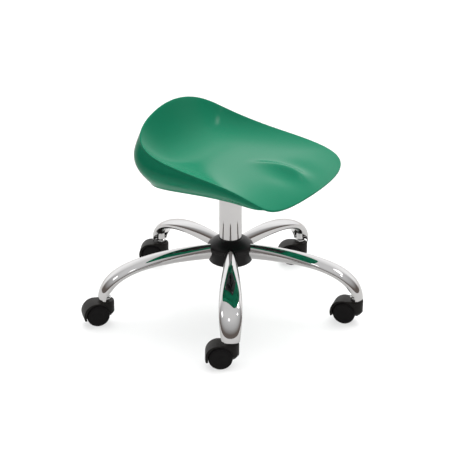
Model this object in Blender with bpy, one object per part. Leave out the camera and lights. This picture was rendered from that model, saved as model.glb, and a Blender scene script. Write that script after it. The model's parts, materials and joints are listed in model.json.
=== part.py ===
# Adjustable swivel stool: a moulded saddle seat on a gas column and a five-leg tubular base.
# Metres, +Z up, the seat faces -Y. The origin is on the floor, under the middle of the outer box.
import math

import bmesh
import bpy
from mathutils import Euler, Matrix, Vector

fit_gap = 0.0003            # between pieces that touch or are welded together
turn_gap = 0.0006           # around pieces that turn or slide

# Casters
wheel_radius = 0.025
wheel_width = 0.0172
wheel_sides = 20
web_width = 0.0060          # hood wall between the two wheels
wheel_side_gap = 0.0006
axle_radius = 0.0030
caster_trail = 0.0206
well_gap = 0.0010           # wheel tread to hood
hood_wall = 0.0022
hood_tail = 0.0030          # extra thickness of the hood behind the wheels
neck_radius = 0.0178
neck_cut = 0.0060           # axle up to where the neck's back edge turns in
neck_lift = 0.0035
fork_front = 0.0100         # axle forward to the front of the hood's lower edge
tail_cut = 0.0060
stem_radius = 0.0055
stem_length = 0.0320
caster_turns = (123, 117, 136.6, 120.8, 100.3)   # degrees from +X to each caster's trail

# Legs
leg_count = 5
base_turn = -6              # degrees, the first leg from +X
tip_reach = 0.2890          # column axis to the middle of a leg's tip
tip_gap = 0.0041            # hood top to leg tip
leg_rise = 0.0772           # leg tip up to the leg's middle at the hub
leg_crown = 0.0065          # how far the leg's curve aims above its hub end
leg_shoulder = 0.0715       # how far above the tip the curve turns down
shoulder_inset = 0.0075     # that turn, in from the tip
leg_middle = 0.160          # column axis to where the curve leaves its level part
leg_wall = 0.0020
leg_widths = ((0.0, 0.024), (0.22, 0.034), (0.5, 0.046), (0.78, 0.047), (1.0, 0.0385))
leg_heights = ((0.0, 0.035), (0.22, 0.031), (0.5, 0.0235), (0.78, 0.0235), (1.0, 0.024))
leg_open = 0.19             # share of the leg's under side cut away at the tip
leg_sides = 16
leg_steps = 10
stem_inset = 0.0047         # stem axis inside the middle of the tip
socket_wall = 0.0032
socket_length = 0.0190
socket_lift = 0.0007        # socket above the leg's tip
stem_collar = 0.0024        # collar between the hood and the leg, outside the stem
stem_chamfer = 0.0010
hood_skirt = 0.0085         # axle down to the hood's lower edge

# Hub
ring_wall = 0.0075
ring_height = 0.034
weld_gap = 0.0012          # ring to leg, since the legs start a little tilted
cover_wall = 0.0025
brim_radius = 0.0485
cover_radius = 0.0465
cover_drop = 0.0255         # leg middle down to the bottom of the lower cover
cover_split = 0.0040        # leg middle up to the split between the covers
cover_corner = 0.0060
brim_rise = 0.0115          # leg middle up to the brim
throat_edge = 0.0022        # dome's inner edge, outside the hole
dome_rise = 0.0290          # leg middle up to the top of the dome
dome_shape = ((1, 0), (0.93, 0.20), (0.62, 0.58), (0.28, 0.86), (0.08, 0.98), (0, 1))   # out, up

# Column and gas spring
column_radius = 0.025
column_wall = 0.0015
column_length = 0.168
column_drop = 0.0345        # leg middle at the hub down to the column's bottom
column_floor = 0.0030
bush_length = 0.063
collar_height = 0.0020
cylinder_radius = 0.014
cylinder_wall = 0.0030
valve_depth = 0.0220        # cylinder's top down to its chamber
gland_length = 0.0100
gland_taper = 0.0020
piston_depth = 0.0280       # cylinder's top down to the piston at the lowest setting
piston_length = 0.0070
rod_end_inset = 0.0005
rod_radius = 0.0050
rod_end_radius = 0.0038
bearing_radius = 0.0105
bearing_height = 0.0040
washer_height = 0.0015
clip_radius = 0.0085
clip_height = 0.0015
travel = 0.065
stop_gap = 0.0050           # collar to cone socket at the lowest setting

# Seat plate and its lever
cone_radius = 0.020
cone_length = 0.034
cone_taper = 0.0007
cone_edge = 0.0020
plate_side = 0.180
plate_thickness = 0.0025
tray_length = 0.120
tray_width = 0.080
tray_depth = 0.0265
tray_wall = 0.0020
slot_side = 0.0030          # lever's slot, each side of the lever
slot_drop = 0.0040
slot_rim = 0.0010
lever_radius = 0.0040
lever_height = 0.0135       # lever above the tray's bottom
pivot_offset = 0.026        # lever pin from the column axis
pin_radius = 0.0025
pin_proud = 0.0020          # pin's ends outside the tray
barrel_radius = 0.0062
barrel_length = 0.0120
lever_reach = 0.150
lever_dip = 0.0225
lever_bend = 0.0120         # start of the lever's dip outside the tray
grip_radius = 0.0070
grip_length = 0.050
grip_edge = 0.0025
grip_end = 0.0035           # thickness of the grip beyond the lever's end
button_radius = 0.0040
button_length = 0.0120
button_travel = 0.0045
button_head = 0.0045        # gas spring above the tray's bottom

# Seat shell
shell_wall = 0.0050
rim_roll = 0.0025
skirt_wall = 0.0040
skirt_drop = 0.0160         # plate top down to the skirt's lower edge
floor_rise = 0.0115         # plate top up to the seat's floor
lip_height = 0.0045         # least height of the skirt, at the front
rim_points = (              # half of the rim from back to front: x, y, height over the floor
    (0.000, 0.154, 0.105), (0.082, 0.151, 0.094), (0.145, 0.135, 0.069), (0.175, 0.087, 0.042),
    (0.180, -0.001, 0.022), (0.182, -0.096, 0.006), (0.181, -0.160, -0.013),
    (0.154, -0.189, -0.029), (0.089, -0.203, -0.034), (0.000, -0.209, -0.033))
seat_middle = -0.020
skirt_bulge = 0.013
skirt_draft = 0.014
skirt_tuck = 0.0189         # the skirt's lower edge, in from the rim
side_climb = 4.4            # power of the floor's climb to the rim, at a side
front_climb = 0.4           # more than at a side, at the front and at the back
back_climb = 0.8
ridge_height = 0.0095
ridge_width = 0.024
ridge_start = -0.035
ridge_end = -0.200
ridge_rise = 0.080          # length over which the ridge comes up, and goes down at the front
ridge_fall = 0.060
seat_turns = 40
seat_rings = 8
boss_radius = 0.0075
screw_radius = 0.0030
screw_head_radius = 0.0055
screw_head_height = 0.0040
screw_pitch = 0.145
screw_bite = 0.0055         # thread in the seat above the plate

# Heights that follow from the sizes above
hood_top = 2 * wheel_radius + well_gap + hood_wall
tip_height = hood_top + tip_gap
hub_height = tip_height + leg_rise
column_bottom = hub_height - column_drop
column_top = column_bottom + column_length
cone_bottom = column_top + collar_height + stop_gap
tray_bottom = cone_bottom + cone_length
plate_top = tray_bottom + tray_depth
seat_floor = plate_top + floor_rise
skirt_bottom = plate_top - skirt_drop
lever_axis = tray_bottom + lever_height
cylinder_top = tray_bottom + button_head
cylinder_bottom = cone_bottom - travel - bush_length - collar_height
stem_reach = tip_reach - stem_inset

colours = {                 # base colour, roughness, metallic
    "seat_plastic": ((0.06, 0.30, 0.19, 1), 0.38, 0.0),
    "chrome": ((0.85, 0.85, 0.86, 1), 0.08, 1.0),
    "black_plastic": ((0.015, 0.014, 0.015, 1), 0.5, 0.0),
    "wheel_plastic": ((0.012, 0.011, 0.012, 1), 0.6, 0.0),
    "steel": ((0.45, 0.45, 0.47, 1), 0.35, 1.0),
    "painted_steel": ((0.02, 0.02, 0.02, 1), 0.45, 0.2),
    "white_plastic": ((0.7, 0.7, 0.68, 1), 0.5, 0.0),
}


def clear_scene():
    for item in list(bpy.data.objects):
        bpy.data.objects.remove(item, do_unlink=True)


def material(node, finish):
    colour, roughness, metallic = colours[finish]
    made = bpy.data.materials.new(node)
    made.use_nodes = True
    shader = made.node_tree.nodes["Principled BSDF"]
    shader.inputs["Base Color"].default_value = colour
    shader.inputs["Roughness"].default_value = roughness
    shader.inputs["Metallic"].default_value = metallic
    return made


def empty(name, place, turn=0.0, parent=None):
    made = bpy.data.objects.new(name, None)
    made.location = place
    made.rotation_euler = (0, 0, turn)
    made.parent = parent
    bpy.context.collection.objects.link(made)
    return made


def piece(name, mesh, finish, parent, place=(0, 0, 0), turn=0.0):
    mesh = mesh.copy()
    mesh.materials.clear()
    mesh.materials.append(material(name, finish))
    mesh.shade_smooth()
    mesh.set_sharp_from_angle(angle=math.radians(35))
    made = bpy.data.objects.new(name, mesh)
    made.location = place
    made.rotation_euler = (0, 0, turn)
    made.parent = parent
    bpy.context.collection.objects.link(made)
    return made


def finish_mesh(work):
    bmesh.ops.remove_doubles(work, verts=work.verts, dist=1e-6)
    bmesh.ops.recalc_face_normals(work, faces=work.faces)
    mesh = bpy.data.meshes.new("shape")
    work.to_mesh(mesh)
    work.free()
    return mesh


def turned(profile, sides, axis="Z", closed=True):
    # Spins (radius, height) points about an axis; a closed profile is a ring, an open one ends on the axis.
    work = bmesh.new()
    points = [work.verts.new((radius, 0, height)) for radius, height in profile]
    pairs = list(zip(points, points[1:]))
    if closed:
        pairs.append((points[-1], points[0]))
    edges = [work.edges.new(pair) for pair in pairs]
    bmesh.ops.spin(work, geom=points + edges, cent=(0, 0, 0), axis=(0, 0, 1),
                   angle=math.tau, steps=sides, use_merge=True)
    if axis == "Y":
        facet = Matrix.Rotation(math.pi / sides, 4, "Z")
        bmesh.ops.transform(work, matrix=Matrix.Rotation(-math.pi / 2, 4, "X") @ facet, verts=work.verts)
    return finish_mesh(work)


def tube(outer, inner, low, high, sides):
    return turned(((outer, high), (outer, low), (inner, low), (inner, high)), sides)


def rod(radius, low, high, sides, axis="Z"):
    return turned(((0, high), (radius, high), (radius, low), (0, low)), sides, axis, closed=False)


def block(low, high):
    work = bmesh.new()
    size = Vector(high) - Vector(low)
    middle = (Vector(high) + Vector(low)) / 2
    bmesh.ops.create_cube(work, size=1, matrix=Matrix.Translation(middle) @ Matrix.Diagonal((*size, 1)))
    return finish_mesh(work)


def prism(outline, low, high, across_y=False):
    # Extrudes a flat outline along Z, or an (x, z) outline along Y.
    work = bmesh.new()
    if across_y:
        points = [work.verts.new((x, low, z)) for x, z in outline]
        step = (0, high - low, 0)
    else:
        points = [work.verts.new((x, y, low)) for x, y in outline]
        step = (0, 0, high - low)
    face = work.faces.new(points)
    grown = bmesh.ops.extrude_face_region(work, geom=[face])
    moved = [part for part in grown["geom"] if isinstance(part, bmesh.types.BMVert)]
    bmesh.ops.translate(work, vec=step, verts=moved)
    return finish_mesh(work)


def loft(rings, wrap_rings=False):
    # Joins equal rings of points with quads; open ends are capped.
    work = bmesh.new()
    rows = [[work.verts.new(point) for point in ring] for ring in rings]
    pairs = list(zip(rows, rows[1:]))
    if wrap_rings:
        pairs.append((rows[-1], rows[0]))
    for first, second in pairs:
        for step in range(len(first)):
            follow = (step + 1) % len(first)
            work.faces.new((first[step], first[follow], second[follow], second[step]))
    if not wrap_rings:
        work.faces.new(rows[0])
        work.faces.new(reversed(rows[-1]))
    return finish_mesh(work)


def moved(mesh, place=(0, 0, 0), turn=(0, 0, 0)):
    copy = mesh.copy()
    copy.transform(Matrix.Translation(place) @ Euler(turn).to_matrix().to_4x4())
    return copy


def combined(base, tools, operation="DIFFERENCE"):
    body = bpy.data.objects.new("body", base)
    bpy.context.collection.objects.link(body)
    cutters = []
    for tool in tools:
        cutter = bpy.data.objects.new("cutter", tool)
        bpy.context.collection.objects.link(cutter)
        cutters.append(cutter)
        change = body.modifiers.new("cut", "BOOLEAN")
        change.object = cutter
        change.operation = operation
        change.solver = "EXACT"
    graph = bpy.context.evaluated_depsgraph_get()
    result = bpy.data.meshes.new_from_object(body.evaluated_get(graph))
    for item in [body] + cutters:
        bpy.data.objects.remove(item, do_unlink=True)
    return result


def arc(middle, radius, start, end, steps):
    turns = [math.radians(start + (end - start) * step / steps) for step in range(steps + 1)]
    return [(middle[0] + radius * math.cos(turn), middle[1] + radius * math.sin(turn)) for turn in turns]


def along(table, place):
    # Smoothly interpolates a table of (place, value) pairs.
    for (low, first), (high, second) in zip(table, table[1:]):
        if place <= high:
            share = (place - low) / (high - low)
            share = share * share * (3 - 2 * share)
            return first + (second - first) * share
    return table[-1][1]


def leg_angle(number):
    return math.radians(base_turn + 360 * number / leg_count)


def caster_angle(number):
    return math.radians(caster_turns[number])


# ---- base ----

def leg_point(share, turn, inset):
    # A point of the leg's tube: share runs along its curve, turn runs round its oval section.
    hub = Vector((column_radius + ring_wall + weld_gap, 0, hub_height))
    tip = Vector((tip_reach, 0, tip_height))
    near = Vector((leg_middle, 0, hub_height + leg_crown))
    far = Vector((tip_reach - shoulder_inset, 0, tip_height + leg_shoulder))
    left = 1 - share
    centre = hub * left ** 3 + near * 3 * left ** 2 * share + far * 3 * left * share ** 2 + tip * share ** 3
    heading = (near - hub) * left ** 2 + (far - near) * 2 * left * share + (tip - far) * share ** 2
    heading.normalize()
    up = Vector((-heading.z, 0, heading.x))
    width = along(leg_widths, share) / 2 - inset
    height = along(leg_heights, share) / 2 - inset
    return centre + Vector((0, width * math.cos(turn), 0)) + up * height * math.sin(turn)


def leg_rings(inset, steps, sides, opened):
    rings = []
    for step in range(steps + 1):
        ring = []
        for side in range(sides):
            turn = math.tau * side / sides
            end = 1 - opened * max(0.0, -math.sin(turn)) ** 0.6
            ring.append(leg_point(end * step / steps, turn, inset))
        rings.append(ring)
    return rings


def leg_mesh():
    outer = leg_rings(0, leg_steps, leg_sides, leg_open)
    inner = leg_rings(leg_wall, leg_steps, leg_sides, leg_open)
    return loft(outer + inner[::-1], wrap_rings=True)


def make_base(axis):
    ring_low = hub_height - ring_height / 2
    ring = tube(column_radius + ring_wall, column_radius + fit_gap, ring_low, ring_low + ring_height, 24)
    piece("hub_ring", ring, "steel", axis)

    split = hub_height + cover_split
    hole = column_radius + fit_gap
    bottom = hub_height - cover_drop
    inside = cover_radius - cover_wall
    low_split = split - fit_gap
    round_in = cover_radius - cover_corner
    third = cover_corner / 3
    corner = [(cover_radius, bottom + cover_corner), (cover_radius - third, bottom + third),
              (round_in, bottom)]
    cup = [(hole, bottom), (hole, bottom + cover_wall), (round_in, bottom + cover_wall)]
    wall = [(inside, bottom + cover_corner), (inside, low_split)]
    lower = turned([(cover_radius, low_split)] + corner + cup + wall, 28)
    brim = hub_height + brim_rise
    top = hub_height + dome_rise
    inner_edge = hole + throat_edge
    slope = brim_radius - inner_edge
    dome = [(inner_edge + slope * out, brim + (top - brim) * rise) for out, rise in dome_shape]
    under = [(radius - cover_wall * 0.8, height - cover_wall) for radius, height in dome[1:-1]]
    throat = [(hole, top - 0.001), (hole, top - 0.001 - cover_wall)]
    inside = brim_radius - cover_wall
    rim = [(inside, brim - cover_wall), (inside, split), (brim_radius, split)]
    upper = turned(dome + throat + under[::-1] + rim, 28)
    legs = loft(leg_rings(-fit_gap - 0.0001, leg_steps, leg_sides, 0))
    turned_legs = [moved(legs, turn=(0, 0, leg_angle(number))) for number in range(leg_count)]
    piece("hub_cover_upper", combined(upper, turned_legs), "black_plastic", axis)
    turned_legs = [moved(legs, turn=(0, 0, leg_angle(number))) for number in range(leg_count)]
    piece("hub_cover_lower", combined(lower, turned_legs), "black_plastic", axis)

    leg = leg_mesh()
    socket_low = tip_height + socket_lift
    bore = stem_radius + fit_gap
    socket = tube(bore + socket_wall, bore, socket_low, socket_low + socket_length, 16)
    for number in range(leg_count):
        turn = leg_angle(number)
        place = (stem_reach * math.cos(turn), stem_reach * math.sin(turn), 0)
        piece(f"leg_{number + 1}", leg, "chrome", axis, turn=turn)
        piece(f"caster_socket_{number + 1}", socket, "chrome", axis, place)


def make_column(axis):
    inside = column_radius - column_wall
    floor_low = column_bottom + clip_height + 0.0015
    floor_high = floor_low + column_floor
    hole = rod_end_radius + turn_gap
    wall = turned(((column_radius, column_top), (column_radius, column_bottom), (inside, column_bottom),
                   (inside, floor_low), (hole, floor_low), (hole, floor_high), (inside, floor_high),
                   (inside, column_top)), 28)
    piece("column_tube", wall, "chrome", axis)

    sleeve = inside - fit_gap
    bore = cylinder_radius + fit_gap
    seat = column_top + fit_gap
    collar = column_radius - turn_gap
    foot = seat - bush_length
    bush = turned(((collar, seat + collar_height), (collar, seat), (sleeve, seat), (sleeve, foot),
                   (bore, foot), (bore, seat + collar_height)), 24)
    piece("guide_bush", bush, "black_plastic", axis)

    bearing_low = floor_high + fit_gap
    washer_low = bearing_low + bearing_height + fit_gap
    clip_high = floor_low - fit_gap
    bearing = tube(bearing_radius, rod_radius + turn_gap, bearing_low, bearing_low + bearing_height, 24)
    washer = tube(bearing_radius, rod_radius + fit_gap, washer_low, washer_low + washer_height, 24)
    clip = tube(clip_radius, rod_end_radius + fit_gap, clip_high - clip_height, clip_high, 20)
    piece("thrust_bearing", bearing, "steel", axis)
    piece("rod_washer", washer, "steel", axis)
    piece("retaining_clip", clip, "steel", axis)

    piston = cylinder_radius - cylinder_wall - fit_gap
    piston_high = cylinder_top - piston_depth
    shoulder = floor_high + fit_gap
    piston_low = piston_high - piston_length
    end = column_bottom + rod_end_inset
    shaft = turned(((0, piston_high), (piston, piston_high), (piston, piston_low), (rod_radius, piston_low),
                    (rod_radius, shoulder), (rod_end_radius, shoulder), (rod_end_radius, end), (0, end)),
                   24, closed=False)
    piece("piston_rod", shaft, "steel", axis)

    bore = cylinder_radius - cylinder_wall
    gland = rod_radius + fit_gap
    narrow = cylinder_radius - cone_taper
    socket_hole = button_radius + fit_gap
    step = cylinder_top - button_length
    roof = cylinder_top - valve_depth
    plug = cylinder_bottom + gland_length
    outside = [(socket_hole, cylinder_top), (narrow, cylinder_top), (cylinder_radius, cone_bottom),
               (cylinder_radius, cylinder_bottom)]
    inside = [(gland, cylinder_bottom), (gland, plug), (bore, plug + gland_taper), (bore, roof), (0, roof)]
    barrel = turned([(0, step), (socket_hole, step)] + outside + inside, 24, closed=False)
    piece("gas_cylinder", barrel, "painted_steel", axis)


# ---- seat ----

def rim_point(turn):
    # The rim is a closed smooth curve through its half outline and that outline's mirror image.
    half = [Vector(point) for point in rim_points]
    whole = half + [Vector((-point.x, point.y, point.z)) for point in half[-2:0:-1]]
    place = turn / math.tau * len(whole)
    start = int(place) % len(whole)
    share = place - int(place)
    a, b, c, d = (whole[(start + offset) % len(whole)] for offset in (-1, 0, 1, 2))
    return (b * 2 + (c - a) * share + (a * 2 - b * 5 + c * 4 - d) * share ** 2
            + (b * 3 - a - c * 3 + d) * share ** 3) / 2


def smooth(low, high, value):
    share = min(1.0, max(0.0, (value - low) / (high - low)))
    return share * share * (3 - 2 * share)


def dish_point(turn, share):
    # The sitting surface: a level floor that climbs to the rim, with a low ridge at the front.
    rim = rim_point(turn)
    facing = math.cos(turn)
    climb = side_climb + front_climb * max(0.0, -facing) + back_climb * max(0.0, facing)
    x = rim.x * share
    y = seat_middle + (rim.y - seat_middle) * share
    rise, fall = ridge_start - ridge_rise, ridge_end + ridge_fall
    along_ridge = smooth(ridge_start, rise, y) * (1 - smooth(fall, ridge_end, y))
    ridge = ridge_height * along_ridge * math.exp(-(x / ridge_width) ** 2)
    return Vector((x, y, seat_floor + rim.z * share ** climb + ridge))


def seat_section(turn):
    # One cut of the shell from the middle of the floor, over the rim, down the skirt and back underneath.
    rim = dish_point(turn, 1.0)
    out = Vector((rim.x, rim.y - seat_middle, 0)).normalized()
    foot = min(skirt_bottom, rim.z - lip_height)
    height = rim.z - foot
    deep = min(1.0, height / 0.10)
    bulge = skirt_bulge * deep ** 0.7
    draft = skirt_draft
    top = [dish_point(turn, share / seat_rings) for share in range(1, seat_rings)]
    roll = [rim - out * rim_roll, rim + Vector((0, 0, -rim_roll * 0.4))]
    side = [(bulge * 0.75, 0.22), (bulge, 0.42), (bulge * 0.55 - draft * 0.25, 0.70), (-draft * 0.80, 0.90)]
    outer = [rim + out * shift - Vector((0, 0, height * fall)) for shift, fall in side]
    edge = [rim - out * skirt_tuck - Vector((0, 0, height)),
            rim - out * (skirt_tuck + skirt_wall) - Vector((0, 0, height))]
    under = []
    for share in range(seat_rings - 1, 0, -1):
        point = dish_point(turn, share / seat_rings * 0.93)
        under.append(point - Vector((0, 0, shell_wall)))
    return top + roll + outer + edge + under


def seat_mesh():
    sections = [seat_section(math.tau * step / seat_turns) for step in range(seat_turns)]
    work = bmesh.new()
    rows = [[work.verts.new(point) for point in section] for section in sections]
    middle = dish_point(0, 0)
    top = work.verts.new(middle)
    bottom = work.verts.new(middle - Vector((0, 0, shell_wall)))
    for first, second in zip(rows, rows[1:] + rows[:1]):
        work.faces.new((top, first[0], second[0]))
        work.faces.new((bottom, second[-1], first[-1]))
        for step in range(len(first) - 1):
            work.faces.new((first[step], first[step + 1], second[step + 1], second[step]))
    return finish_mesh(work)


def screw_places():
    half = screw_pitch / 2
    return [(half, half), (-half, half), (-half, -half), (half, -half)]


def boss_top(x, y):
    # Half way into the shell's wall over a boss: the sitting surface's height is read at the nearest point.
    samples = [dish_point(math.tau * step / 72, share / 30) for step in range(72) for share in range(31)]
    nearest = min(samples, key=lambda point: (point.x - x) ** 2 + (point.y - y) ** 2)
    return nearest.z - shell_wall / 2


def make_seat(axis):
    places = screw_places()
    foot = plate_top + fit_gap
    bosses = [moved(rod(boss_radius, foot, boss_top(x, y), 16), (x, y, 0)) for x, y in places]
    shell = combined(seat_mesh(), bosses, "UNION")
    hole = rod(screw_radius + fit_gap, plate_top - 0.001, plate_top + screw_bite + fit_gap, 12)
    holes = [moved(hole, (x, y, 0)) for x, y in places]
    piece("seat_shell", combined(shell, holes), "seat_plastic", axis)

    half = plate_side / 2
    under = plate_top - plate_thickness
    plate = block((-half, -half, under), (half, half, plate_top))
    thread = screw_radius + fit_gap
    screw_holes = [moved(rod(thread, under - 0.01, plate_top + 0.01, 12), (x, y, 0)) for x, y in places]
    piece("seat_plate", combined(plate, screw_holes), "painted_steel", axis)

    long, wide = tray_length / 2, tray_width / 2
    lid = under - fit_gap
    tray = block((-long, -wide, tray_bottom), (long, wide, lid))
    inside = block((tray_wall - long, tray_wall - wide, tray_bottom + tray_wall),
                   (long - tray_wall, wide - tray_wall, lid + 0.01))
    bore = rod(cylinder_radius + turn_gap - cone_taper, tray_bottom - 0.01, tray_bottom + 0.01, 24)
    slot = block((0, -lever_radius - slot_side, lever_axis - lever_radius - slot_drop),
                 (tray_length, lever_radius + slot_side, lid - slot_rim))
    pin_hole = rod(pin_radius + fit_gap, -tray_width, tray_width, 16, "Y")
    cuts = [inside, bore, slot, moved(pin_hole, (pivot_offset, 0, lever_axis))]
    piece("lever_tray", combined(tray, cuts), "painted_steel", axis)

    wide = cylinder_radius + fit_gap
    top = tray_bottom - fit_gap
    cone = turned(((cone_radius, top), (cone_radius, cone_bottom + cone_edge),
                   (cone_radius - cone_edge, cone_bottom), (wide, cone_bottom), (wide - cone_taper, top)), 24)
    piece("cone_socket", cone, "painted_steel", axis)

    high, shoulder = plate_top + screw_bite, under - fit_gap
    head = shoulder - screw_head_height
    screw = turned(((0, high), (screw_radius, high), (screw_radius, shoulder), (screw_head_radius, shoulder),
                    (screw_head_radius, head), (0, head)), 12, closed=False)
    for number, (x, y) in enumerate(places):
        piece(f"seat_screw_{number + 1}", screw, "steel", axis, (x, y, 0))
    pin_half = tray_width / 2 + pin_proud
    pin = rod(pin_radius, -pin_half, pin_half, 16, "Y")
    piece("lever_pin", pin, "steel", axis, (pivot_offset, 0, lever_axis))


def lever_path():
    # The rod runs level over the button and the pin, then dips to its grip; places are from the pin.
    start = -pivot_offset - button_radius
    bend = tray_length / 2 - pivot_offset + lever_bend
    reach = lever_reach - pivot_offset
    level = [(start, 0), (0.006, 0), (bend - 0.008, 0)]
    return level + [(bend, -0.004), (bend + 0.012, -lever_dip * 0.70), (bend + 0.022, -lever_dip * 0.94),
                    (reach - grip_length, -lever_dip), (reach - 0.004, -lever_dip)]


def make_lever(axis):
    hinge = empty("lever_hinge", (pivot_offset, 0, lever_axis), parent=axis)
    rings = []
    path = lever_path()
    for number, (x, z) in enumerate(path):
        before = Vector(path[max(0, number - 1)])
        after = Vector(path[min(len(path) - 1, number + 1)])
        heading = (after - before).normalized()
        up = Vector((-heading.y, 0, heading.x))
        rings.append([Vector((x, 0, z)) + Vector((0, lever_radius * math.cos(turn), 0))
                      + up * lever_radius * math.sin(turn)
                      for turn in (math.tau * side / 12 for side in range(12))])
    barrel = rod(barrel_radius, -barrel_length / 2, barrel_length / 2, 20, "Y")
    hole = rod(pin_radius + fit_gap, -barrel_length, barrel_length, 16, "Y")
    bar = combined(combined(loft(rings), [barrel], "UNION"), [hole])
    piece("lever_rod", bar, "steel", hinge)

    end = lever_reach - pivot_offset
    bore = lever_radius + fit_gap
    start, tip = end - grip_length, end - grip_end
    grip = turned(((bore, start), (grip_radius - grip_edge, start), (grip_radius, start + grip_edge),
                   (grip_radius, end - grip_edge), (grip_radius - grip_edge, end), (0, end),
                   (0, tip), (bore, tip)), 16)
    grip.transform(Matrix.Translation((0, 0, -lever_dip)) @ Matrix.Rotation(math.pi / 2, 4, "Y"))
    piece("lever_grip", grip, "black_plastic", hinge)

    button_high = lever_axis - lever_radius - fit_gap
    button_low = cylinder_top - button_length + button_travel
    button = rod(button_radius, button_low, button_high, 16)
    piece("release_button", button, "white_plastic", axis)


# ---- casters ----

def hood_mesh():
    # Side outline and top outline of the hood, met together, then hollowed for the two wheels.
    axle = (caster_trail, wheel_radius)
    well = wheel_radius + well_gap
    outer = well + hood_wall
    tail = axle[0] + hood_tail
    low = axle[1] - hood_skirt
    side = arc((tail, axle[1]), outer, -6, 96, 10)
    side += [(-neck_radius, hood_top), (-neck_radius, axle[1] + neck_cut),
             (neck_lift - neck_radius, axle[1] - neck_lift), (axle[0] - fork_front, low),
             (tail + outer - tail_cut, low)]
    half = hood_half()
    reach = tail + outer + 0.01
    plan = [(reach, -half), (reach, half)] + [(x, y) for x, y in arc((0, 0), neck_radius, 98, 262, 8)]
    upright = prism(plan, -0.01, hood_top + 0.01)
    body = combined(prism(side, -half, half, across_y=True), [upright], "INTERSECT")
    inner = web_width / 2
    right = moved(rod(well, inner, half + 0.01, 22, "Y"), (axle[0], 0, axle[1]))
    left = moved(rod(well, -half - 0.01, -inner, 22, "Y"), (axle[0], 0, axle[1]))
    hole = rod(stem_radius + fit_gap, hood_top - stem_bite(), hood_top + 0.01, 16)
    bore = moved(rod(axle_radius + fit_gap, -half, half, 16, "Y"), (axle[0], 0, axle[1]))
    return combined(body, [right, left, hole, bore])


def hood_half():
    return web_width / 2 + wheel_side_gap + wheel_width


def stem_bite():
    return 0.5 * (stem_length - tip_gap - socket_length)


def wheel_mesh():
    # The tread's facets, not their corners, are the stated radius from the axle.
    tread = wheel_radius / math.cos(math.pi / wheel_sides)
    bore = axle_radius + turn_gap
    half = wheel_width / 2
    profile = ((bore, -half), (tread - 0.0015, -half), (tread, -half + 0.0015), (tread, half - 0.0030),
               (tread - 0.0040, half), (0, half), (0, half - 0.0030), (bore, half - 0.0030))
    return turned(profile, wheel_sides, "Y")


def make_caster(axis, number, hood, wheel):
    turn = leg_angle(number)
    place = (stem_reach * math.cos(turn), stem_reach * math.sin(turn), 0)
    swivel = empty(f"caster_swivel_{number + 1}", place, caster_angle(number), axis)
    low = hood_top - stem_bite() + fit_gap
    high, collar = low + stem_length, stem_radius + stem_collar
    collar_low, collar_high = hood_top + fit_gap, tip_height + socket_lift - fit_gap
    stem = turned(((0, high), (stem_radius - stem_chamfer, high), (stem_radius, high - stem_chamfer),
                   (stem_radius, collar_high), (collar, collar_high), (collar, collar_low),
                   (stem_radius, collar_low), (stem_radius, low), (0, low)), 12, closed=False)
    piece(f"caster_stem_{number + 1}", stem, "steel", swivel)
    piece(f"caster_hood_{number + 1}", hood, "black_plastic", swivel)
    hub = (caster_trail, 0, wheel_radius)
    reach = web_width / 2 + wheel_side_gap + wheel_width - 0.0040
    piece(f"caster_axle_{number + 1}", rod(axle_radius, -reach, reach, 12, "Y"), "steel", swivel, hub)
    offset = web_width / 2 + wheel_side_gap + wheel_width / 2
    piece(f"wheel_{number + 1}a", wheel, "wheel_plastic", swivel, (hub[0], offset, hub[2]))
    piece(f"wheel_{number + 1}b", wheel, "wheel_plastic", swivel, (hub[0], -offset, hub[2]), math.pi)


def footprint_middle():
    # Middle of the box round all the casters, seen from above, from the column axis.
    half = hood_half()
    tail = caster_trail + hood_tail + wheel_radius + well_gap + hood_wall
    corners = []
    for number in range(leg_count):
        stem = Vector((stem_reach * math.cos(leg_angle(number)), stem_reach * math.sin(leg_angle(number))))
        heading = Vector((math.cos(caster_angle(number)), math.sin(caster_angle(number))))
        across = Vector((-heading.y, heading.x))
        outline = [(tail, half), (tail, -half)] + arc((0, 0), neck_radius, 98, 262, 8)
        corners += [stem + heading * reach + across * side for reach, side in outline]
    xs = [corner.x for corner in corners]
    ys = [corner.y for corner in corners]
    return (min(xs) + max(xs)) / 2, (min(ys) + max(ys)) / 2


def make_stool():
    middle_x, middle_y = footprint_middle()
    axis = empty("column_axis", (-middle_x, -middle_y, 0))
    make_base(axis)
    make_column(axis)
    make_seat(axis)
    make_lever(axis)
    hood = hood_mesh()
    wheel = wheel_mesh()
    for number in range(leg_count):
        make_caster(axis, number, hood, wheel)


clear_scene()
make_stool()
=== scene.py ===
import json
import math

import bmesh
import bpy
import numpy as np
from mathutils import Matrix, Vector


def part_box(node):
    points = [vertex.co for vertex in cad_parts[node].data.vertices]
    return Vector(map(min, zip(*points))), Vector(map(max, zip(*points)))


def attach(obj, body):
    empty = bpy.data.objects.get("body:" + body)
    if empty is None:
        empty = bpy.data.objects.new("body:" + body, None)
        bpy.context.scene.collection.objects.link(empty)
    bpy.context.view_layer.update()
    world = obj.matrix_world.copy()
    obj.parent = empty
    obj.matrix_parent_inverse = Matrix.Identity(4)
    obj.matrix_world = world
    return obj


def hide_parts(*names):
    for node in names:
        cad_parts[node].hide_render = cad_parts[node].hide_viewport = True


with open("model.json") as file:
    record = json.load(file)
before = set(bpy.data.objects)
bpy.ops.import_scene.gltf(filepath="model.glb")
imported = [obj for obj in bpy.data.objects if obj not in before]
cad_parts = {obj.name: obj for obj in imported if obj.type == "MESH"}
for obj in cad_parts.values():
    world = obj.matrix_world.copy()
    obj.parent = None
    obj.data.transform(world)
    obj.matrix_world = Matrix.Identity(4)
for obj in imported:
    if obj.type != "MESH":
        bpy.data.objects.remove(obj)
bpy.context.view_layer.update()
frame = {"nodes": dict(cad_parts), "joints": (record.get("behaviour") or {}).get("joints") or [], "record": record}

joints = {joint["name"]: joint for joint in frame["joints"]}
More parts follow.
